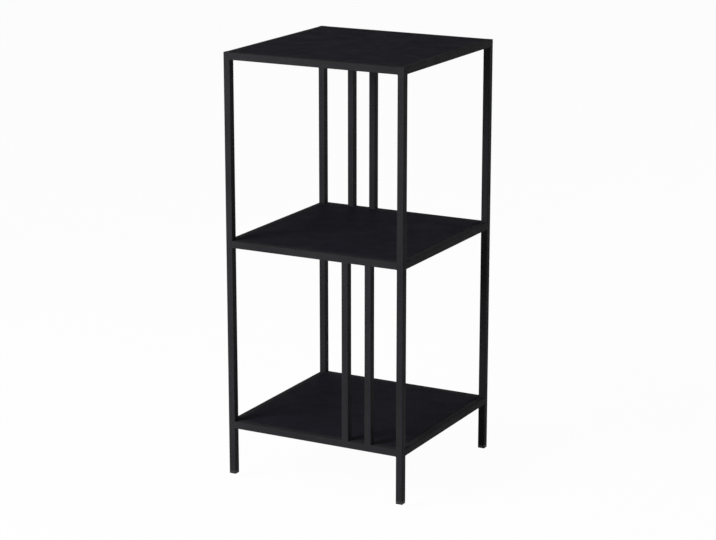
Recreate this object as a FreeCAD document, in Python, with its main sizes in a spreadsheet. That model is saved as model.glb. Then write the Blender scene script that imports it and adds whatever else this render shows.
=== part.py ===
import FreeCAD, Part
import os
import Sketcher
from FreeCAD import Placement, Rotation, Vector

# Three-shelf stand of black square steel tube, with sheet decks and levelling feet.
# Millimetres. The origin is on the floor under the middle of the plan, +Z up, front towards -Y.
# Four legs and the rails of three shelves are welded into one frame. Two pairs of upright bars
# are welded between rails: one pair low at the front right, its twin high at the back left.
# Each deck drops in between the rails onto angle ledges, and is plug-welded there.

# Driving dimensions: name in the sheet, value in millimetres.
SIZES = (
    # Whole stand, over the tubes.
    ("plan_width", 406),
    ("plan_depth", 406),
    ("bottom_shelf_top", 115),
    ("tier_pitch", 387.5),
    # Square tube of the legs, rails and bars.
    ("tube_side", 15),
    ("tube_wall", 1.2),
    ("tube_corner", 1.5),
    # Upright bars: from the leg's axis to the first bar's, and from bar to bar.
    ("bar_offset", 71.5),
    ("bar_pitch", 52),
    # Plate that closes the top of a leg.
    ("cap_plate", 1.5),
    # Sheet deck, and the gap around it.
    ("deck_sheet", 1.2),
    ("deck_gap", 0.3),
    ("deck_edge", 0.4),
    # Angle ledges that carry the deck.
    ("ledge_width", 12),
    ("ledge_drop", 10),
    ("ledge_sheet", 1.5),
    # Folded rib under the deck.
    ("rib_length", 336),
    ("rib_width", 30),
    ("rib_flange", 12),
    ("rib_depth", 10),
    ("rib_sheet", 1),
    ("rib_bend", 2),
    # Moulded insert in the foot of a leg.
    ("insert_flange", 2),
    ("insert_length", 18),
    ("insert_core", 10.8),
    ("insert_gap", 0.05),
    ("insert_fin", 1.5),
    ("insert_fin_start", 3),
    ("insert_fin_pitch", 5),
    ("insert_bore", 6.1),
    # Levelling foot: threaded stud that turns in a square moulded pad, by a key from below.
    ("pad_height", 4),
    ("seat_gap", 0.3),
    ("swivel_gap", 0.1),
    ("foot_stud_diameter", 6),
    ("foot_stud_length", 20),
    ("neck_diameter", 4),
    ("rivet_diameter", 7),
    ("rivet_height", 1.3),
    ("rivet_level", 1.2),
    ("socket_flats", 2.5),
    ("socket_depth", 2),
    ("key_hole", 3.4),
)

# Lengths and places worked out from the driving dimensions.
TOP = "(Sizes.bottom_shelf_top + 2 * Sizes.tier_pitch)"
SHELF_TOPS = {
    "bottom": "Sizes.bottom_shelf_top",
    "middle": "(Sizes.bottom_shelf_top + Sizes.tier_pitch)",
    "top": TOP,
}
LEG_X = "((Sizes.plan_width - Sizes.tube_side) / 2)"
LEG_Y = "((Sizes.plan_depth - Sizes.tube_side) / 2)"
INSIDE_X = "(Sizes.plan_width / 2 - Sizes.tube_side)"
INSIDE_Y = "(Sizes.plan_depth / 2 - Sizes.tube_side)"
TUBE_BORE = "(Sizes.tube_side - 2 * Sizes.tube_wall)"
FIN_SIDE = "(Sizes.tube_side - 2 * Sizes.tube_wall - 2 * Sizes.insert_gap)"
STUD_LOW = "(Sizes.pad_height + Sizes.swivel_gap)"
INSERT_LOW = "(Sizes.pad_height + Sizes.seat_gap)"
LEG_LOW = "(%s + Sizes.insert_flange)" % INSERT_LOW
# Each ledge starts in one corner and stops short of its neighbour at the next.
LEDGE_STOP = "(Sizes.ledge_width + Sizes.deck_gap)"
LEDGE_SHIFT = "(%s / 2)" % LEDGE_STOP

CORNERS = {
    "front_left": (-1, -1),
    "front_right": (1, -1),
    "back_left": (-1, 1),
    "back_right": (1, 1),
}

UPRIGHT = Rotation()
ALONG_X = Rotation(Vector(0, 1, 0), 90)
ALONG_Y = Rotation(Vector(1, 0, 0), -90)

doc = FreeCAD.newDocument("Stand")
pieces = []


def fill_sheet():
    """The driving dimensions, one to a row, each with its alias."""
    sheet = doc.addObject("Spreadsheet::Sheet", "Sizes")
    for row, (alias, value) in enumerate(SIZES, 1):
        sheet.set("A%d" % row, alias)
        sheet.set("B%d" % row, str(value))
        sheet.setAlias("B%d" % row, alias)
    doc.recompute()


def piece(shape_object, label):
    """Counts an object as a finished sub-part under its own name."""
    shape_object.Label = label
    pieces.append(shape_object)
    return shape_object


def place(target, x, y, z, rotation=UPRIGHT):
    """Turns an object, and binds where it stands to the sheet."""
    target.Placement = Placement(Vector(), rotation)
    for axis, expression in zip("xyz", (x, y, z)):
        target.setExpression(".Placement.Base." + axis, str(expression))


def signed(sign, expression):
    return "%d * %s" % (sign, expression)


def sketch_on(body, role, height=None):
    """An empty sketch on one of the body's own origin planes, or raised above it."""
    plane = next(f for f in body.Origin.OriginFeatures if f.Role == role)
    sketch = body.newObject("Sketcher::SketchObject", "Sketch")
    sketch.AttachmentSupport = [(plane, "")]
    sketch.MapMode = "FlatFace"
    if height is not None:
        sketch.setExpression(".AttachmentOffset.Base.z", height)
    return sketch


def hold(sketch, axis, element, point, expression):
    """Binds one coordinate of a point to the sheet, or lays it on the axis where that is zero."""
    value = float(sketch.evalExpression(expression))
    if abs(value) < 1e-9:
        cross_axis = -2 if axis == "X" else -1
        sketch.addConstraint(Sketcher.Constraint("PointOnObject", element, point, cross_axis))
        return
    ends = (-1, 1, element, point) if value > 0 else (element, point, -1, 1)
    index = sketch.addConstraint(Sketcher.Constraint("Distance" + axis, *ends, abs(value)))
    sketch.setExpression("Constraints[%d]" % index, "abs(%s)" % expression)


def outline(sketch, corners):
    """A closed loop of straight lines whose corners are pairs of sheet expressions."""
    points = [Vector(*(float(sketch.evalExpression(e)) for e in corner)) for corner in corners]
    lines = []
    for start, end in zip(points, points[1:] + points[:1]):
        lines.append(sketch.addGeometry(Part.LineSegment(start, end)))
    for line, following in zip(lines, lines[1:] + lines[:1]):
        sketch.addConstraint(Sketcher.Constraint("Coincident", line, 2, following, 1))
    for line, (x, y) in zip(lines, corners):
        hold(sketch, "X", line, 1, x)
        hold(sketch, "Y", line, 1, y)


def rectangle(sketch, width, depth):
    """A rectangle about the sketch's origin."""
    signs = ((-1, -1), (1, -1), (1, 1), (-1, 1))
    outline(sketch, [("%d * %s / 2" % (a, width), "%d * %s / 2" % (b, depth)) for a, b in signs])


def hexagon(sketch, flats):
    """A regular hexagon about the sketch's origin, by the distance across its flats."""
    turns = range(0, 360, 60)
    spoke = "%s / sqrt(3) * %s(%d deg)"
    outline(sketch, [(spoke % (flats, "cos", t), spoke % (flats, "sin", t)) for t in turns])


def circle(sketch, diameter, x="0", y="0"):
    """A circle at a place given by sheet expressions."""
    centre = Vector(float(sketch.evalExpression(x)), float(sketch.evalExpression(y)))
    size = float(sketch.evalExpression(diameter))
    ring = sketch.addGeometry(Part.Circle(centre, Vector(0, 0, 1), size / 2))
    index = sketch.addConstraint(Sketcher.Constraint("Diameter", ring, size))
    sketch.setExpression("Constraints[%d]" % index, diameter)
    hold(sketch, "X", ring, 3, x)
    hold(sketch, "Y", ring, 3, y)


def pad(body, sketch, length, symmetric=False):
    """Material added along the sketch's normal, or evenly to both sides of it."""
    feature = body.newObject("PartDesign::Pad", "Pad")
    feature.Profile = sketch
    feature.setExpression("Length", length)
    if symmetric:
        feature.SideType = "Symmetric"
    doc.recompute()
    return feature


def pocket(body, sketch, length=None, reverse=False):
    """Material cut away to a depth, or right through to both sides of the sketch."""
    before = body.Shape.Volume
    feature = body.newObject("PartDesign::Pocket", "Pocket")
    feature.Profile = sketch
    feature.Reversed = reverse
    if length is None:
        feature.Type = "ThroughAll"
        feature.SideType = "Symmetric"
    else:
        feature.setExpression("Length", length)
    doc.recompute()
    if body.Shape.Volume >= before:
        raise RuntimeError("a cut in %s removes nothing" % body.Name)
    return feature


def revolve(body, sketch):
    """A full turn about the sketch's upright axis."""
    feature = body.newObject("PartDesign::Revolution", "Revolution")
    feature.Profile = sketch
    feature.ReferenceAxis = (sketch, ["V_Axis"])
    feature.Angle = 360
    doc.recompute()
    return feature


def groove(body, sketch):
    """Material cut away by a full turn about the sketch's upright axis."""
    before = body.Shape.Volume
    feature = body.newObject("PartDesign::Groove", "Groove")
    feature.Profile = sketch
    feature.ReferenceAxis = (sketch, ["V_Axis"])
    feature.Angle = 360
    doc.recompute()
    if body.Shape.Volume >= before:
        raise RuntimeError("a groove in %s removes nothing" % body.Name)
    return feature


def edges_where(feature, wanted):
    """Names of the edges of a feature that meet a condition."""
    return ["Edge%d" % i for i, edge in enumerate(feature.Shape.Edges, 1) if wanted(edge)]


def fillet(body, feature, wanted, radius):
    """Rounds the chosen edges of the body's last feature."""
    rounded = body.newObject("PartDesign::Fillet", "Fillet")
    rounded.Base = (feature, edges_where(feature, wanted))
    rounded.setExpression("Radius", radius)
    doc.recompute()
    return rounded


def runs_along(edge, direction):
    """True for a straight edge in the given direction."""
    return isinstance(edge.Curve, Part.Line) and abs(edge.Curve.Direction.dot(direction)) > 0.999


def lies_at(edge, height):
    """True for an edge that lies flat at a height."""
    box = edge.BoundBox
    return abs(box.ZMin - height) < 1e-6 and abs(box.ZMax - height) < 1e-6


def size_of(expression):
    return float(doc.Sizes.evalExpression(expression))


def is_outer_corner(edge):
    """True for a long edge of the square tube's outer face."""
    half = size_of("Sizes.tube_side") / 2
    centre = edge.BoundBox.Center
    outside = abs(abs(centre.x) - half) < 1e-6 and abs(abs(centre.y) - half) < 1e-6
    return outside and runs_along(edge, Vector(0, 0, 1))


def tube(label, length, symmetric=True):
    """Square tube with round outer corners, open at both ends, along its own Z."""
    body = doc.addObject("PartDesign::Body", label)
    profile = sketch_on(body, "XY_Plane")
    rectangle(profile, "Sizes.tube_side", "Sizes.tube_side")
    rectangle(profile, TUBE_BORE, TUBE_BORE)
    wall = pad(body, profile, length, symmetric)
    fillet(body, wall, is_outer_corner, "Sizes.tube_corner")
    return piece(body, label)


def leg(corner):
    """Upright tube from the foot insert to the plate that closes its top."""
    body = tube("leg_" + corner, "%s - Sizes.cap_plate - %s" % (TOP, LEG_LOW), symmetric=False)
    x, y = CORNERS[corner]
    place(body, signed(x, LEG_X), signed(y, LEG_Y), LEG_LOW)


def leg_cap(corner):
    """Plate welded over the top of a leg and ground level with its sides."""
    body = doc.addObject("PartDesign::Body", "leg_cap_" + corner)
    plate = sketch_on(body, "XY_Plane")
    rectangle(plate, "Sizes.tube_side", "Sizes.tube_side")
    slab = pad(body, plate, "Sizes.cap_plate")
    fillet(body, slab, is_outer_corner, "Sizes.tube_corner")
    x, y = CORNERS[corner]
    place(body, signed(x, LEG_X), signed(y, LEG_Y), "%s - Sizes.cap_plate" % TOP)
    piece(body, "leg_cap_" + corner)


def rails(level):
    """The four rails that make the rim of one shelf."""
    axis_height = "%s - Sizes.tube_side / 2" % SHELF_TOPS[level]
    for name, sign in (("front", -1), ("back", 1)):
        rail = tube("%s_rail_%s" % (name, level), "2 * " + INSIDE_X)
        place(rail, 0, signed(sign, LEG_Y), axis_height, ALONG_X)
    for name, sign in (("left", -1), ("right", 1)):
        rail = tube("%s_rail_%s" % (name, level), "2 * " + INSIDE_Y)
        place(rail, signed(sign, LEG_X), 0, axis_height, ALONG_Y)


def bars(side, lower_level, upper_level, sign):
    """Two upright bars between the rails of neighbouring shelves, nearer to one leg."""
    length = "%s - Sizes.tube_side - %s" % (SHELF_TOPS[upper_level], SHELF_TOPS[lower_level])
    for name, step in (("outer", 0), ("inner", 1)):
        bar = tube("%s_bar_%s" % (side, name), length, symmetric=False)
        x = "(%s - Sizes.bar_offset - %d * Sizes.bar_pitch)" % (LEG_X, step)
        place(bar, signed(sign, x), signed(-sign, LEG_Y), SHELF_TOPS[lower_level])


def deck(level):
    """Flat sheet that drops in between the rails, level with their tops."""
    body = doc.addObject("PartDesign::Body", "deck_" + level)
    sheet = sketch_on(body, "XY_Plane")
    rectangle(sheet, "2 * (%s - Sizes.deck_gap)" % INSIDE_X, "2 * (%s - Sizes.deck_gap)" % INSIDE_Y)
    slab = pad(body, sheet, "Sizes.deck_sheet")
    thickness = size_of("Sizes.deck_sheet")
    fillet(body, slab, lambda edge: lies_at(edge, thickness), "Sizes.deck_edge")
    place(body, 0, 0, "%s - Sizes.deck_sheet" % SHELF_TOPS[level])
    piece(body, "deck_" + level)


def rib(level):
    """Folded top-hat rib that stiffens the underside of a deck."""
    body = doc.addObject("PartDesign::Body", "deck_rib_" + level)
    fold = sketch_on(body, "YZ_Plane")
    brim = "(Sizes.rib_width / 2 + Sizes.rib_flange)"
    outer = "(Sizes.rib_width / 2)"
    inner = "(Sizes.rib_width / 2 - Sizes.rib_sheet)"
    under = "-Sizes.rib_sheet"
    floor = "-Sizes.rib_depth"
    inside = "Sizes.rib_sheet - Sizes.rib_depth"
    right = ((inner, inside), (inner, "0"), (brim, "0"), (brim, under), (outer, under), (outer, floor))
    left = [("-" + y, z) for y, z in reversed(right)]
    outline(fold, list(right) + left)
    strip = pad(body, fold, "Sizes.rib_length", symmetric=True)
    along = Vector(1, 0, 0)
    depth = size_of("Sizes.rib_depth")
    sheet = size_of("Sizes.rib_sheet")
    bent = fillet(body, strip, lambda e: runs_along(e, along) and lies_at(e, -depth), "Sizes.rib_bend")
    fillet(
        body,
        bent,
        lambda e: runs_along(e, along) and lies_at(e, sheet - depth),
        "Sizes.rib_bend - Sizes.rib_sheet",
    )
    place(body, 0, 0, "%s - Sizes.deck_sheet" % SHELF_TOPS[level])
    piece(body, "deck_rib_" + level)


def ledge(name, reach):
    """Angle that carries one edge of a deck: its corner lies on the rail's inner face."""
    body = doc.addObject("PartDesign::Body", name)
    angle = sketch_on(body, "YZ_Plane")
    corners = (
        ("0", "0"),
        ("0", "-Sizes.ledge_drop"),
        ("Sizes.ledge_sheet", "-Sizes.ledge_drop"),
        ("Sizes.ledge_sheet", "-Sizes.ledge_sheet"),
        ("Sizes.ledge_width", "-Sizes.ledge_sheet"),
        ("Sizes.ledge_width", "0"),
    )
    outline(angle, corners)
    pad(body, angle, "2 * (%s - Sizes.deck_gap) - %s" % (reach, LEDGE_STOP), symmetric=True)
    return body


def group(label, places):
    """Copies of small pieces, kept together as a single node of separate solids."""
    copies = []
    for index, (pattern, x, y, z, rotation) in enumerate(places, 1):
        copy = doc.addObject("App::Link", "%s_%d" % (label, index))
        copy.LinkedObject = pattern
        place(copy, x, y, z, rotation)
        copies.append(copy)
    together = doc.addObject("Part::Compound", label)
    together.Links = copies
    piece(together, label)


def ledge_frames(level):
    """The four ledges of a shelf, where they stand, and how each is turned to face the middle."""
    z = "%s - Sizes.deck_sheet" % SHELF_TOPS[level]
    about_z = Vector(0, 0, 1)
    return (
        (ledge_across, "-" + LEDGE_SHIFT, "-" + INSIDE_Y, z, Rotation(about_z, 0)),
        (ledge_along, INSIDE_X, "-" + LEDGE_SHIFT, z, Rotation(about_z, 90)),
        (ledge_across, LEDGE_SHIFT, INSIDE_Y, z, Rotation(about_z, 180)),
        (ledge_along, "-" + INSIDE_X, LEDGE_SHIFT, z, Rotation(about_z, 270)),
    )


def foot_insert(corner):
    """Moulded insert in the foot of a leg: a flange, a finned plug and a threaded bore."""
    body = doc.addObject("PartDesign::Body", "foot_insert_" + corner)
    flange = sketch_on(body, "XY_Plane")
    rectangle(flange, "Sizes.tube_side", "Sizes.tube_side")
    slab = pad(body, flange, "Sizes.insert_flange")
    fillet(body, slab, is_outer_corner, "Sizes.tube_corner")
    core = sketch_on(body, "XY_Plane", "Sizes.insert_flange")
    rectangle(core, "Sizes.insert_core", "Sizes.insert_core")
    pad(body, core, "Sizes.insert_length")
    for step in range(3):
        level = "Sizes.insert_flange + Sizes.insert_fin_start + %d * Sizes.insert_fin_pitch" % step
        fin = sketch_on(body, "XY_Plane", level)
        rectangle(fin, FIN_SIDE, FIN_SIDE)
        pad(body, fin, "Sizes.insert_fin")
    bore = sketch_on(body, "XY_Plane")
    circle(bore, "Sizes.insert_bore")
    pocket(body, bore)
    x, y = CORNERS[corner]
    place(body, signed(x, LEG_X), signed(y, LEG_Y), INSERT_LOW)
    piece(body, "foot_insert_" + corner)


def foot_stud(corner):
    """Levelling stud: threaded shaft, a rivet end caught in the pad, and a hexagonal socket under it."""
    body = doc.addObject("PartDesign::Body", "foot_stud_" + corner)
    section = sketch_on(body, "XZ_Plane")
    tip = "(%s + Sizes.foot_stud_length)" % STUD_LOW
    radius = "Sizes.foot_stud_diameter / 2"
    neck = "Sizes.neck_diameter / 2"
    rivet = "Sizes.rivet_diameter / 2"
    rivet_top = "Sizes.rivet_level + Sizes.rivet_height"
    outline(
        section,
        (
            ("0", "Sizes.rivet_level"),
            (rivet, "Sizes.rivet_level"),
            (rivet, rivet_top),
            (neck, rivet_top),
            (neck, STUD_LOW),
            (radius, STUD_LOW),
            (radius, tip),
            ("0", tip),
        ),
    )
    revolve(body, section)
    socket = sketch_on(body, "XY_Plane", "Sizes.rivet_level")
    hexagon(socket, "Sizes.socket_flats")
    pocket(body, socket, "Sizes.socket_depth", reverse=True)
    x, y = CORNERS[corner]
    place(body, signed(x, LEG_X), signed(y, LEG_Y), 0)
    piece(body, "foot_stud_" + corner)


def foot_pad(corner):
    """Square pad on the floor, level with the leg, with the seat in which the stud's rivet end turns."""
    body = doc.addObject("PartDesign::Body", "foot_pad_" + corner)
    base = sketch_on(body, "XY_Plane")
    rectangle(base, "Sizes.tube_side", "Sizes.tube_side")
    block = pad(body, base, "Sizes.pad_height")
    fillet(body, block, is_outer_corner, "Sizes.tube_corner")
    seat = sketch_on(body, "XZ_Plane")
    key = "Sizes.key_hole / 2"
    neck = "Sizes.neck_diameter / 2 + Sizes.swivel_gap"
    rivet = "Sizes.rivet_diameter / 2 + Sizes.swivel_gap"
    floor = "Sizes.rivet_level - Sizes.swivel_gap"
    roof = "Sizes.rivet_level + Sizes.rivet_height + Sizes.swivel_gap"
    outline(
        seat,
        (
            ("0", "0"),
            (key, "0"),
            (key, floor),
            (rivet, floor),
            (rivet, roof),
            (neck, roof),
            (neck, "Sizes.pad_height"),
            ("0", "Sizes.pad_height"),
        ),
    )
    groove(body, seat)
    x, y = CORNERS[corner]
    place(body, signed(x, LEG_X), signed(y, LEG_Y), 0)
    piece(body, "foot_pad_" + corner)


def check_and_write():
    """Writes every sub-part, once the whole document is sound."""
    doc.recompute()
    for item in doc.Objects:
        if "Invalid" in item.State or "Error" in item.State:
            raise RuntimeError("%s did not compute" % item.Label)
    for part in pieces:
        if part.Shape.isNull() or not part.Shape.isValid():
            raise RuntimeError("%s has no sound shape" % part.Label)
    os.makedirs("parts", exist_ok=True)
    for part in pieces:
        part.Shape.exportStep("parts/%s.step" % part.Label)
    print(len(pieces), "sub-parts written")


fill_sheet()
for corner_name in CORNERS:
    leg(corner_name)
    leg_cap(corner_name)
    foot_insert(corner_name)
    foot_stud(corner_name)
    foot_pad(corner_name)

ledge_across = ledge("ledge_across", INSIDE_X)
ledge_along = ledge("ledge_along", INSIDE_Y)
for level_name in SHELF_TOPS:
    rails(level_name)
    deck(level_name)
    rib(level_name)
    group("deck_ledges_" + level_name, ledge_frames(level_name))

bars("front", "bottom", "middle", 1)
bars("back", "middle", "top", -1)
check_and_write()
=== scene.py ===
"""Looks of a three-shelf stand: coats, welds, threaded levelling feet, studio and camera."""
import math

import bmesh
import bpy
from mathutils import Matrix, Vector


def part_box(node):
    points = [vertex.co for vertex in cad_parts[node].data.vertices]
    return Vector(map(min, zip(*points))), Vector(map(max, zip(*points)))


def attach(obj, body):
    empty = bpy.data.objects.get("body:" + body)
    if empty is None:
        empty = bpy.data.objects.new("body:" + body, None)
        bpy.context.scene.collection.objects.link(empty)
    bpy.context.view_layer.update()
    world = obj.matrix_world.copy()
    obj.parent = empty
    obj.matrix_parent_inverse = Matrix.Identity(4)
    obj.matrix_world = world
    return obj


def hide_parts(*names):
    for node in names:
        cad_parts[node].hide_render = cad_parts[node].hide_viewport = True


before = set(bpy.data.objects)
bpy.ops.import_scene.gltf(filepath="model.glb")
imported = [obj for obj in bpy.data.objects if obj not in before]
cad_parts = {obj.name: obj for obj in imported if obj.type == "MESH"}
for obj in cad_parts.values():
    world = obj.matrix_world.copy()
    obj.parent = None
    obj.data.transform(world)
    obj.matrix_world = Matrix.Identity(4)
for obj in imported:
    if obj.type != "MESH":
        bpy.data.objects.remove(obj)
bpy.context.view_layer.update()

MM = 0.001
CORNERS = ("front_left", "front_right", "back_left", "back_right")
LEVELS = ("bottom", "middle", "top")
# For each side of a level: the axis that its rail runs along, the axis that it faces, and which way.
SIDES = {"front": (0, 1, -1), "back": (0, 1, 1), "left": (1, 0, -1), "right": (1, 0, 1)}
BARS = ("front_bar_outer", "front_bar_inner", "back_bar_outer", "back_bar_inner")
AXES = (Vector((1, 0, 0)), Vector((0, 1, 0)), Vector((0, 0, 1)))
UP = AXES[2]

# Sizes of the made parts that the pieces below are fitted to.
TUBE_CORNER = 1.5 * MM
LEDGE_SHEET = 1.5 * MM
LEDGE_WIDTH = 12 * MM
LEDGE_DROP = 10 * MM
DECK_SHEET = 1.2 * MM
RIB_SHEET = 1.0 * MM
RIB_WIDTH = 30 * MM
RIB_FLANGE = 12 * MM
FOOT_TRAVEL = 10 * MM


# Materials. Noise scales are in features per metre.

NOISE_LOW = 0.3
NOISE_HIGH = 0.7
BEVEL_SAMPLES = 6


class Shader:
    """A node tree that is built up one node at a time."""

    def __init__(self, name):
        self.material = bpy.data.materials.new(name)
        self.material.use_nodes = True
        self.tree = self.material.node_tree
        self.tree.nodes.clear()
        self.place = self.node("ShaderNodeTexCoord").outputs["Object"]

    def node(self, kind, inputs=None, **settings):
        """A new node; an input is another node's output, which is linked, or a constant."""
        made = self.tree.nodes.new(kind)
        for key, value in settings.items():
            setattr(made, key, value)
        for key, value in (inputs or {}).items():
            socket = made.inputs[key]
            if isinstance(value, bpy.types.NodeSocket):
                self.tree.links.new(value, socket)
            else:
                socket.default_value = value
        return made

    def noise(self, scale, detail=2.0, roughness=0.5, where=None):
        made = self.node("ShaderNodeTexNoise", {
            "Vector": where or self.place, "Scale": scale, "Detail": detail, "Roughness": roughness})
        return made.outputs["Fac"]

    def stretch(self, scale):
        made = self.node("ShaderNodeMapping", {"Vector": self.place, "Scale": scale})
        return made.outputs["Vector"]

    def spread(self, value, low, high, out_low, out_high):
        made = self.node("ShaderNodeMapRange", {
            "Value": value, "From Min": low, "From Max": high, "To Min": out_low, "To Max": out_high})
        return made.outputs["Result"]

    def vary(self, noise, out_low, out_high):
        """The middle of a noise's range, spread over another range."""
        return self.spread(noise, NOISE_LOW, NOISE_HIGH, out_low, out_high)

    def maths(self, operation, first, second):
        return self.node("ShaderNodeMath", {0: first, 1: second}, operation=operation).outputs["Value"]

    def blend(self, factor, first, second):
        """A mix of two colours, which are inputs 6 and 7 and output 2 of the node."""
        return self.node("ShaderNodeMix", {0: factor, 6: first, 7: second}, data_type="RGBA").outputs[2]

    def bump(self, height, distance, strength, normal):
        made = self.node("ShaderNodeBump", {
            "Height": height, "Distance": distance, "Strength": strength, "Normal": normal})
        return made.outputs["Normal"]

    def edges(self, radius, gain):
        """A rounded normal near edges, and how far it leans from the flat one."""
        rounded = self.node("ShaderNodeBevel", {"Radius": radius}, samples=BEVEL_SAMPLES).outputs["Normal"]
        flat = self.node("ShaderNodeNewGeometry").outputs["Normal"]
        lean = self.node("ShaderNodeVectorMath", {0: rounded, 1: flat}, operation="DOT_PRODUCT")
        return rounded, self.spread(lean.outputs["Value"], 1.0, 1.0 - gain, 0.0, 1.0)

    def surface(self, colour, roughness, normal, metallic, specular):
        made = self.node("ShaderNodeBsdfPrincipled", {
            "Base Color": colour, "Roughness": roughness, "Normal": normal,
            "Metallic": metallic, "Specular IOR Level": specular})
        return self.finish(made.outputs["BSDF"])

    def finish(self, result):
        self.node("ShaderNodeOutputMaterial", {"Surface": result})
        return self.material


def grey(value, blue=1.0):
    """A grey, with its blue part raised by a factor."""
    return (value, value, value * blue, 1.0)


COAT_EDGE = 0.8 * MM
COAT_RELIEF = 0.16 * MM
COAT_CLOUDS = 7.0
COAT_WAVES = 9.0
COAT_SHEEN = 26.0
COAT_WEAR_AND_HIGHLIGHT = 45.0
COAT_PEEL = 280.0
COAT_GRAIN = 1600.0
COAT_ROUGHNESS = (0.60, 0.72)
COAT_EDGE_POLISH = 0.10
COAT_SPECK = grey(0.055, 1.14)
# A paler colour for the edges: partly wear, partly a painted highlight along them.
COAT_WORN_AND_HIGHLIGHT = grey(0.070, 1.02)
TUBE_DARK = grey(0.0170, 1.10)
TUBE_LIGHT = grey(0.0238, 1.10)
# The decks' coat is a darker, bluer copy of the tubes' coat: painted shade on the decks.
SHEET_PAINTED_SHADE_DARK = grey(0.0079, 1.65)
SHEET_PAINTED_SHADE_LIGHT = grey(0.0111, 1.65)
SHEET_WAVINESS = 0.25 * MM


def powder_coat(name, waviness, dark, light, specular):
    """Fine-textured satin black: orange peel, a sandy grain, faint clouding and thin, smoother edges, which
    are paled in patches, partly as wear and partly as a painted highlight.
    """
    shader = Shader(name)
    rounded, edge = shader.edges(COAT_EDGE, gain=0.5)
    clouds = shader.vary(shader.noise(COAT_CLOUDS, detail=3.0), 0.0, 1.0)
    grain = shader.noise(COAT_GRAIN, roughness=0.55)
    specks = shader.spread(grain, low=0.55, high=0.75, out_low=0.0, out_high=0.55)
    # The patchy mask that pales the edges: partly wear, partly a painted highlight.
    wear_and_highlight = shader.noise(COAT_WEAR_AND_HIGHLIGHT, detail=4.0, roughness=0.6)
    wear_and_highlight = shader.spread(wear_and_highlight, low=0.40, high=0.66, out_low=0.10, out_high=0.80)
    base = shader.blend(clouds, dark, light)
    base = shader.blend(specks, base, COAT_SPECK)
    # Edges paled in patches: partly wear, partly a painted highlight.
    base = shader.blend(shader.maths("MULTIPLY", edge, wear_and_highlight), base, COAT_WORN_AND_HIGHLIGHT)
    rough = shader.vary(shader.noise(COAT_SHEEN, detail=4.0), *COAT_ROUGHNESS)
    rough = shader.maths("SUBTRACT", rough, shader.maths("MULTIPLY", edge, COAT_EDGE_POLISH))
    normal = rounded
    if waviness:
        normal = shader.bump(shader.noise(COAT_WAVES, detail=1.0), waviness, strength=1.0, normal=normal)
    normal = shader.bump(shader.noise(COAT_PEEL), COAT_RELIEF, strength=0.6, normal=normal)
    normal = shader.bump(grain, COAT_RELIEF, strength=0.8, normal=normal)
    return shader.surface(base, rough, normal, metallic=0.0, specular=specular)


NYLON_EDGE = 0.4 * MM
NYLON_RELIEF = 0.05 * MM
NYLON_CLOUDS = 160.0
NYLON_SHEEN = 420.0
NYLON_GRAIN = 1900.0
NYLON_ROUGHNESS = (0.58, 0.70)
NYLON_WEAR = 0.5
NYLON_DARK = grey(0.020)
NYLON_LIGHT = grey(0.028)
NYLON_RUBBED = grey(0.060)


def moulded_nylon(name):
    """Matte black moulding with a spark-eroded grain and paler, rubbed edges."""
    shader = Shader(name)
    rounded, edge = shader.edges(NYLON_EDGE, gain=0.5)
    clouds = shader.vary(shader.noise(NYLON_CLOUDS), 0.0, 1.0)
    base = shader.blend(clouds, NYLON_DARK, NYLON_LIGHT)
    base = shader.blend(shader.maths("MULTIPLY", edge, NYLON_WEAR), base, NYLON_RUBBED)
    rough = shader.vary(shader.noise(NYLON_SHEEN), *NYLON_ROUGHNESS)
    normal = shader.bump(shader.noise(NYLON_GRAIN), NYLON_RELIEF, strength=0.5, normal=rounded)
    return shader.surface(base, rough, normal, metallic=0.0, specular=0.30)


STEEL_EDGE = 0.15 * MM
STEEL_RELIEF = 0.01 * MM
STEEL_MARKS = (60.0, 60.0, 9000.0)
STEEL_SHEEN = 900.0
STEEL_ROUGHNESS = (0.30, 0.46)
STEEL_WEAR = 0.7
STEEL_DARK = grey(0.050, 1.05)
STEEL_LIGHT = grey(0.090, 1.04)
STEEL_RUBBED = grey(0.30)


def plated_steel(name):
    """Black zinc plate with turning marks round the axis, rubbed bright on the thread crests."""
    shader = Shader(name)
    rounded, edge = shader.edges(STEEL_EDGE, gain=0.6)
    marks = shader.noise(1.0, detail=3.0, roughness=0.6, where=shader.stretch(STEEL_MARKS))
    streaks = shader.spread(marks, low=0.35, high=0.65, out_low=0.0, out_high=1.0)
    base = shader.blend(streaks, STEEL_DARK, STEEL_LIGHT)
    base = shader.blend(shader.maths("MULTIPLY", edge, STEEL_WEAR), base, STEEL_RUBBED)
    rough = shader.vary(shader.noise(STEEL_SHEEN, detail=3.0), *STEEL_ROUGHNESS)
    normal = shader.bump(marks, STEEL_RELIEF, strength=0.3, normal=rounded)
    return shader.surface(base, rough, normal, metallic=0.85, specular=0.5)


coat = powder_coat("powder_coat_tube", 0.0, TUBE_DARK, TUBE_LIGHT, specular=0.04)
# The decks take the darker copy of the same coat, whose colour paints their shade.
painted_shade_sheet_coat = powder_coat("powder_coat_sheet_painted_shade", SHEET_WAVINESS, SHEET_PAINTED_SHADE_DARK, SHEET_PAINTED_SHADE_LIGHT, specular=0.06)
nylon = moulded_nylon("black_nylon")
steel = plated_steel("black_zinc_steel")

for name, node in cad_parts.items():
    if name.startswith(("foot_insert", "foot_pad")):
        chosen = nylon
    elif name.startswith("foot_stud"):
        chosen = steel
    elif name.startswith("deck") and not name.startswith("deck_ledges"):
        # The darker copy of the coat, which paints the decks' shade.
        chosen = painted_shade_sheet_coat
    else:
        chosen = coat
    node.data.materials.clear()
    node.data.materials.append(chosen)


# Mesh pieces. A crease is the angle in degrees past which an edge stays sharp.

WELD_CREASE = 60
FILL_CREASE = 40
THREAD_CREASE = 35


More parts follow.
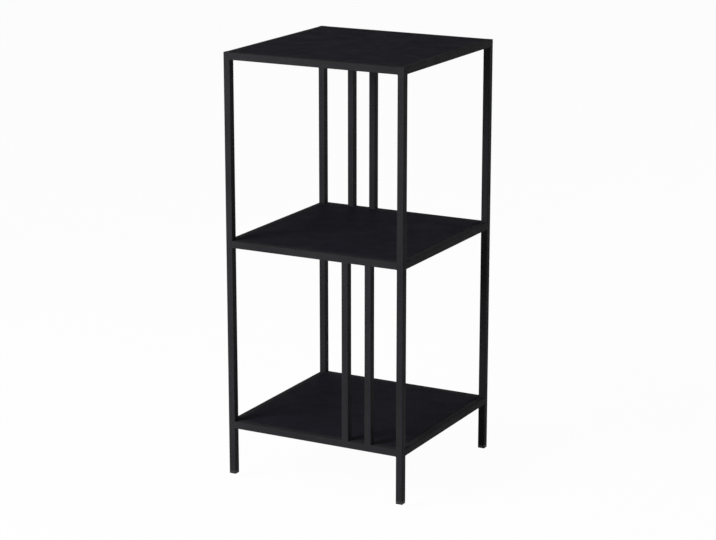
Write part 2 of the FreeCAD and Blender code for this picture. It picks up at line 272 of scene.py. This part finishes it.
def finish_piece(name, bm, body, material, crease):
    """Makes the mesh a smooth-shaded object that rides a body."""
    bmesh.ops.recalc_face_normals(bm, faces=bm.faces)
    mesh = bpy.data.meshes.new(name)
    bm.to_mesh(mesh)
    bm.free()
    mesh.polygons.foreach_set("use_smooth", [True] * len(mesh.polygons))
    mesh.set_sharp_from_angle(angle=math.radians(crease))
    mesh.materials.append(material)
    piece = bpy.data.objects.new(name, mesh)
    bpy.context.scene.collection.objects.link(piece)
    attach(piece, body)
    return piece


def full_turn(facets):
    """Angles spaced evenly round a circle."""
    return [2 * math.pi * i / facets for i in range(facets)]


def bridge(bm, rings, closed_start=True):
    """Skins a row of rings with equal point counts, with a face at the end and, if wanted, the start."""
    made = [[bm.verts.new(point) for point in ring] for ring in rings]
    for first, second in zip(made, made[1:]):
        count = len(first)
        for i in range(count):
            j = (i + 1) % count
            bm.faces.new((first[i], first[j], second[j], second[i]))
    if closed_start:
        bm.faces.new(made[0][::-1])
    bm.faces.new(made[-1])


# A bead's crown, ripple depth and end are shares of its leg. Its hidden side sinks into the metal.
RIPPLE_PITCH = 1.5 * MM
RIPPLE_STEPS = 4
RIPPLE_BOW = 0.8 * MM
RIPPLE_DEPTH = 0.12
BEAD_CROWN = 0.14
BEAD_END = 0.4
BEAD_FACETS = 5
BEAD_LEAST_STEPS = 4
SINK = 0.1 * MM


def bead(bm, start, end, along_a, along_b, leg):
    """A rippled fillet weld in a corner; along_a and along_b lead away from it on the two faces."""
    run = end - start
    length = run.length
    along = run / length
    out = (along_a + along_b).normalized()
    steps = max(BEAD_LEAST_STEPS, round(length / RIPPLE_PITCH * RIPPLE_STEPS))
    rings = []
    for i in range(steps + 1):
        reach = length * i / steps
        root = start + along * reach
        taper = min(1.0, BEAD_END + (1 - BEAD_END) * min(reach, length - reach) / RIPPLE_PITCH)
        ring = [root - (along_a + along_b) * SINK]
        for j in range(BEAD_FACETS + 1):
            share = j / BEAD_FACETS
            crown = 4 * share * (1 - share)
            ripple = abs(math.sin(math.pi * (reach + crown * RIPPLE_BOW) / RIPPLE_PITCH))
            size = leg * taper * (1 - RIPPLE_DEPTH + RIPPLE_DEPTH * ripple)
            point = root + along_a * (size * (1 - share))
            point += along_b * (size * share)
            point += out * (BEAD_CROWN * size * crown)
            if j == 0:
                point -= along_b * SINK
            if j == BEAD_FACETS:
                point -= along_a * SINK
            ring.append(point)
        rings.append(ring)
    bridge(bm, rings)


FILL_FACETS = 6


def ground_fill(bm, end, outward, side, across, half):
    """Weld metal ground level with two tubes, where a rounded tube corner leaves a hollow by a butted end."""
    flat = half - TUBE_CORNER
    section = []
    for sign in (-1, 1):
        for i in range(FILL_FACETS + 1):
            turn = math.pi / 2 * (i if sign < 0 else FILL_FACETS - i) / FILL_FACETS
            out = flat + TUBE_CORNER * math.sin(turn)
            wide = flat + TUBE_CORNER * math.cos(turn)
            section.append((out, sign * wide))
    rings = []
    for reach in (0.0, TUBE_CORNER):
        rings.append([end + outward * reach + side * out + across * wide for out, wide in section])
    bridge(bm, rings)


DOME_FACETS = 20


def dome(bm, centre, normal, profile):
    """A turned spot on a face: profile is (radius, height) from the rim to the middle."""
    first = normal.orthogonal().normalized()
    second = normal.cross(first)
    spokes = [first * math.cos(angle) + second * math.sin(angle) for angle in full_turn(DOME_FACETS)]
    rings = []
    for radius, height in profile:
        rings.append([centre + normal * height + spoke * radius for spoke in spokes])
    bridge(bm, rings)


# Welds of the frame.

RAIL_BEAD = 2.2 * MM
BAR_BEAD = 1.8 * MM
CORNER_BEAD = 2.5 * MM


def rail_welds(beads, fills, level):
    """At each rail end a bead below, and ground metal outside and, on front and back rails, inside."""
    for side, (along, across, sign) in SIDES.items():
        low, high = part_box("%s_rail_%s" % (side, level))
        half = (high[2] - low[2]) / 2
        middle = (low + high) / 2
        for way, edge in ((-1, low), (1, high)):
            outward = AXES[along] * way
            end = middle.copy()
            end[along] = edge[along]
            ground_fill(fills, end, outward, AXES[across] * sign, UP, half)
            if side in ("front", "back"):
                ground_fill(fills, end, outward, AXES[across] * -sign, UP, half)
            under = end - UP * half
            reach = AXES[across] * (half - TUBE_CORNER)
            bead(beads, under - reach, under + reach, -outward, -UP, RAIL_BEAD)


def bar_welds(beads, fills, name):
    """At each end of an upright bar, ground metal front and back, and a bead on the left and right."""
    low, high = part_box(name)
    half = (high[0] - low[0]) / 2
    middle = (low + high) / 2
    for way, edge in ((-1, low), (1, high)):
        outward = UP * way
        end = Vector((middle[0], middle[1], edge[2]))
        for face in (-1, 1):
            ground_fill(fills, end, outward, AXES[1] * face, AXES[0], half)
            corner = end + AXES[0] * (face * half)
            reach = AXES[1] * (half - TUBE_CORNER)
            bead(beads, corner - reach, corner + reach, AXES[0] * face, -outward, BAR_BEAD)


def corner_welds(beads, level):
    """An upright bead in each inner corner of a level, between two rails."""
    low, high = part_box("front_rail_" + level)
    inside = high[0]
    foot = UP * (low[2] + TUBE_CORNER)
    head = UP * (high[2] - DECK_SHEET - SINK)
    for x in (-1, 1):
        for y in (-1, 1):
            corner = (AXES[0] * x + AXES[1] * y) * inside
            bead(beads, corner + foot, corner + head, AXES[0] * -x, AXES[1] * -y, CORNER_BEAD)


beads = bmesh.new()
fills = bmesh.new()
for level in LEVELS:
    rail_welds(beads, fills, level)
for name in BARS:
    bar_welds(beads, fills, name)
for level in LEVELS:
    corner_welds(beads, level)
finish_piece("frame_weld_beads", beads, "frame", coat, WELD_CREASE)
finish_piece("ground_welds", fills, "frame", coat, FILL_CREASE)


# Welds of the decks.

STITCH_LENGTH = 22 * MM
STITCH_BEAD = 1.5 * MM
STITCH_PLACES = (-110 * MM, 0.0, 110 * MM)
PLUG_PLACES = (-140 * MM, -55 * MM, 55 * MM, 140 * MM)
PLUG_PROFILE = ((4.2 * MM, -0.1 * MM), (4.0 * MM, 0.12 * MM), (3.1 * MM, 0.42 * MM), (1.6 * MM, 0.36 * MM),
                (0.5 * MM, 0.25 * MM))
SPOT_PROFILE = ((3.0 * MM, -0.05 * MM), (2.8 * MM, 0.10 * MM), (2.5 * MM, 0.18 * MM), (2.1 * MM, 0.10 * MM),
                (1.2 * MM, 0.04 * MM), (0.4 * MM, 0.03 * MM))
SPOT_COUNT = 9
SPOT_PITCH = 38 * MM


def ledge_welds(stitches, spots, level):
    """Stitches along the foot of each ledge, and plugs from below that hold the deck on it."""
    ledge_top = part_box("deck_ledges_" + level)[1][2]
    for side, (along, across, sign) in SIDES.items():
        low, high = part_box("%s_rail_%s" % (side, level))
        wall = low[across] if sign > 0 else high[across]
        inward = AXES[across] * -sign
        for place in STITCH_PLACES:
            corner = AXES[along] * place + AXES[across] * wall + UP * (ledge_top - LEDGE_DROP)
            reach = AXES[along] * (STITCH_LENGTH / 2)
            bead(stitches, corner - reach, corner + reach, inward, -UP, STITCH_BEAD)
        for place in PLUG_PLACES:
            centre = AXES[along] * place + AXES[across] * wall + inward * (LEDGE_WIDTH + LEDGE_SHEET) / 2
            centre += UP * (ledge_top - LEDGE_SHEET)
            dome(spots, centre, -UP, PLUG_PROFILE)


def rib_welds(spots, level):
    """Two rows of spot welds, one on each flange of the rib."""
    rib_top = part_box("deck_rib_" + level)[1][2]
    for i in range(SPOT_COUNT):
        along = (i - (SPOT_COUNT - 1) / 2) * SPOT_PITCH
        for way in (-1, 1):
            centre = Vector((along, way * (RIB_WIDTH + RIB_FLANGE) / 2, rib_top - RIB_SHEET))
            dome(spots, centre, -UP, SPOT_PROFILE)


stitches = bmesh.new()
spots = bmesh.new()
for level in LEVELS:
    ledge_welds(stitches, spots, level)
    rib_welds(spots, level)
finish_piece("ledge_stitch_welds", stitches, "frame", coat, WELD_CREASE)
finish_piece("plug_and_spot_welds", spots, "frame", coat, WELD_CREASE)


# Levelling studs.

STUD_FACETS = 36
STUD_RADIUS = 3.0 * MM
STUD_CHAMFER = 0.8 * MM
STUD_TIP = 0.4 * MM
THREAD_PITCH = 1.0 * MM
THREAD_DEPTH = 0.58 * MM
THREAD_STEPS = 8
# Over half a pitch the flank gains FLANK depths, less CREST, which leaves the crest flat.
FLANK = 1.35
CREST = 0.12
FLANGE_RADIUS = 3.5 * MM
FLANGE_HEIGHT = 1.3 * MM
FLANGE_LOWER_EDGE = 0.3 * MM
FLANGE_UPPER_EDGE = 0.2 * MM
NECK_RADIUS = 2.0 * MM
NECK_TOP = 2.9 * MM
SOCKET_FLATS = 2.5 * MM
SOCKET_DEPTH = 2.0 * MM
SOCKET_EDGE = 0.15 * MM
SOCKET_CENTRE = 0.25 * MM


def even(radius):
    """The same radius at every angle."""
    return lambda angle: radius


def hexagon(angle):
    """The radius of the hexagon socket at an angle."""
    return SOCKET_FLATS / 2 / math.cos((angle + math.pi / 6) % (math.pi / 3) - math.pi / 6)


def socket_mouth(angle):
    """The radius of the socket's chamfered mouth at an angle."""
    return hexagon(angle) + SOCKET_EDGE


def thread(height, top):
    """The stud's radius round one height: a cut that climbs a pitch per turn, shallow at first."""
    start = min(1.0, (height - NECK_TOP) / THREAD_PITCH)
    limit = STUD_RADIUS - max(0.0, height - (top - STUD_CHAMFER))

    def radius(angle):
        turn = (height / THREAD_PITCH - angle / (2 * math.pi)) % 1.0
        cut = min(1.0, max(0.0, abs(2 * turn - 1) * FLANK - CREST))
        return min(limit, STUD_RADIUS - THREAD_DEPTH * cut * start)
    return radius


def threaded_stud(corner):
    """A screw with a cut thread, a neck and a flanged foot with a hexagon socket."""
    low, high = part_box("foot_stud_" + corner)
    axis = (low + high) / 2
    foot = low[2]
    top = high[2] - foot
    angles = full_turn(STUD_FACETS)

    def ring(height, radius):
        return [Vector((axis[0] + radius(angle) * math.cos(angle), axis[1] + radius(angle) * math.sin(angle),
                        foot + height)) for angle in angles]

    rings = [
        ring(SOCKET_DEPTH, even(SOCKET_CENTRE)),
        ring(SOCKET_DEPTH, hexagon),
        ring(SOCKET_EDGE, hexagon),
        ring(0.0, socket_mouth),
        ring(0.0, even(FLANGE_RADIUS - FLANGE_LOWER_EDGE)),
        ring(FLANGE_LOWER_EDGE, even(FLANGE_RADIUS)),
        ring(FLANGE_HEIGHT - FLANGE_UPPER_EDGE, even(FLANGE_RADIUS)),
        ring(FLANGE_HEIGHT, even(FLANGE_RADIUS - FLANGE_UPPER_EDGE)),
        ring(FLANGE_HEIGHT, even(NECK_RADIUS)),
        ring(NECK_TOP, even(NECK_RADIUS)),
    ]
    count = round((top - NECK_TOP) / THREAD_PITCH * THREAD_STEPS)
    for i in range(count + 1):
        height = NECK_TOP + (top - NECK_TOP) * i / count
        rings.append(ring(height, thread(height, top)))
    rings.append(ring(top, even(STUD_TIP)))
    bm = bmesh.new()
    bridge(bm, rings)
    piece = finish_piece("threaded_stud_" + corner, bm, "stud_" + corner, steel, THREAD_CREASE)
    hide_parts("foot_stud_" + corner)


for corner in CORNERS:
    threaded_stud(corner)


# Studio, in metres.

SWEEP_RADIUS = 30.0
SWEEP_CURVE = 1.5
SWEEP_TOP = 5.2
SWEEP_FACETS = 64
CURVE_STEPS = 8
FLOOR_GAP = 0.3 * MM
WHITE = grey(1.0)
FLOOR_WHITE = grey(0.90)
SHOWN_WHITE = 0.97


def studio_white():
    """Plain white to the camera and in reflections, but for a faint shadow, and clear from below."""
    shader = Shader("studio_white")
    diffuse = shader.node("ShaderNodeBsdfDiffuse", {"Color": FLOOR_WHITE})
    glow = shader.node("ShaderNodeEmission", {"Color": WHITE, "Strength": 1.0})
    path = shader.node("ShaderNodeLightPath")
    shown = shader.maths("MAXIMUM", path.outputs["Is Camera Ray"], path.outputs["Is Glossy Ray"])
    shown = shader.maths("MAXIMUM", shown, path.outputs["Is Transmission Ray"])
    share = shader.maths("MULTIPLY", shown, SHOWN_WHITE)
    mixed = shader.node("ShaderNodeMixShader", {0: share, 1: diffuse.outputs[0], 2: glow.outputs[0]})
    below = shader.node("ShaderNodeNewGeometry").outputs["Backfacing"]
    clear = shader.node("ShaderNodeBsdfTransparent")
    one_sided = shader.node("ShaderNodeMixShader", {0: below, 1: mixed.outputs[0], 2: clear.outputs[0]})
    return shader.finish(one_sided.outputs[0])


def studio_sweep():
    """A floor at the lowest reach of the feet, turned up far off into a low round wall."""
    level = -FOOT_TRAVEL - FLOOR_GAP
    profile = [(SWEEP_RADIUS + SWEEP_CURVE, SWEEP_TOP)]
    for i in range(CURVE_STEPS + 1):
        turn = math.pi / 2 * i / CURVE_STEPS
        radius = SWEEP_RADIUS + SWEEP_CURVE * math.cos(turn)
        profile.append((radius, level + SWEEP_CURVE * (1 - math.sin(turn))))
    angles = full_turn(SWEEP_FACETS)
    rings = []
    for radius, height in profile:
        rings.append([(radius * math.cos(angle), radius * math.sin(angle), height) for angle in angles])
    bm = bmesh.new()
    bridge(bm, rings, closed_start=False)
    mesh = bpy.data.meshes.new("studio_sweep")
    bm.to_mesh(mesh)
    bm.free()
    mesh.materials.append(studio_white())
    sweep = bpy.data.objects.new("studio_sweep", mesh)
    bpy.context.scene.collection.objects.link(sweep)


LAMP_AIM = (0.0, 0.0, 0.45)
# For each lamp its place, its width in metres and its power in watts.
LAMPS = {
    "key_lamp": ((-1.5, -2.6, 1.9), 1.8, 117.0),
    "fill_lamp": ((3.2, -1.4, 1.6), 2.0, 3.0),
    "back_lamp": ((1.4, 3.4, 1.8), 2.0, 24.0),
    "top_lamp": ((0.2, -0.3, 3.6), 1.6, 9.0),
}
WORLD_STRENGTH = 0.06


def studio_lamp(name, place, width, power):
    """A round soft lamp that points at the middle of the stand."""
    data = bpy.data.lights.new(name, "AREA")
    data.shape = "DISK"
    data.size = width
    data.energy = power
    lamp = bpy.data.objects.new(name, data)
    lamp.location = place
    lamp.rotation_euler = (Vector(LAMP_AIM) - Vector(place)).to_track_quat("-Z", "Y").to_euler()
    bpy.context.scene.collection.objects.link(lamp)


def studio_world():
    """A dim even light from all round."""
    world = bpy.data.worlds.new("studio_world")
    world.use_nodes = True
    background = world.node_tree.nodes["Background"]
    background.inputs["Color"].default_value = WHITE
    background.inputs["Strength"].default_value = WORLD_STRENGTH
    bpy.context.scene.world = world


# The lens and the sensor are in millimetres, and the angles in degrees.
LENS = 112.0
SENSOR_WIDTH = 36.0
CAMERA_PLACE = (2.1116, -3.9726, 1.5936)
CAMERA_YAW = 28.058
CAMERA_PITCH = 14.645


def photo_camera():
    """The camera at the photograph's viewing angle."""
    data = bpy.data.cameras.new("photo_camera")
    data.lens = LENS
    data.sensor_width = SENSOR_WIDTH
    camera = bpy.data.objects.new("photo_camera", data)
    camera.location = CAMERA_PLACE
    camera.rotation_euler = (math.radians(90.0 - CAMERA_PITCH), 0.0, math.radians(CAMERA_YAW))
    bpy.context.scene.collection.objects.link(camera)
    bpy.context.scene.camera = camera


studio_sweep()
for name, (place, width, power) in LAMPS.items():
    studio_lamp(name, place, width, power)
studio_world()
photo_camera()
bpy.context.scene.view_settings.view_transform = "Standard"
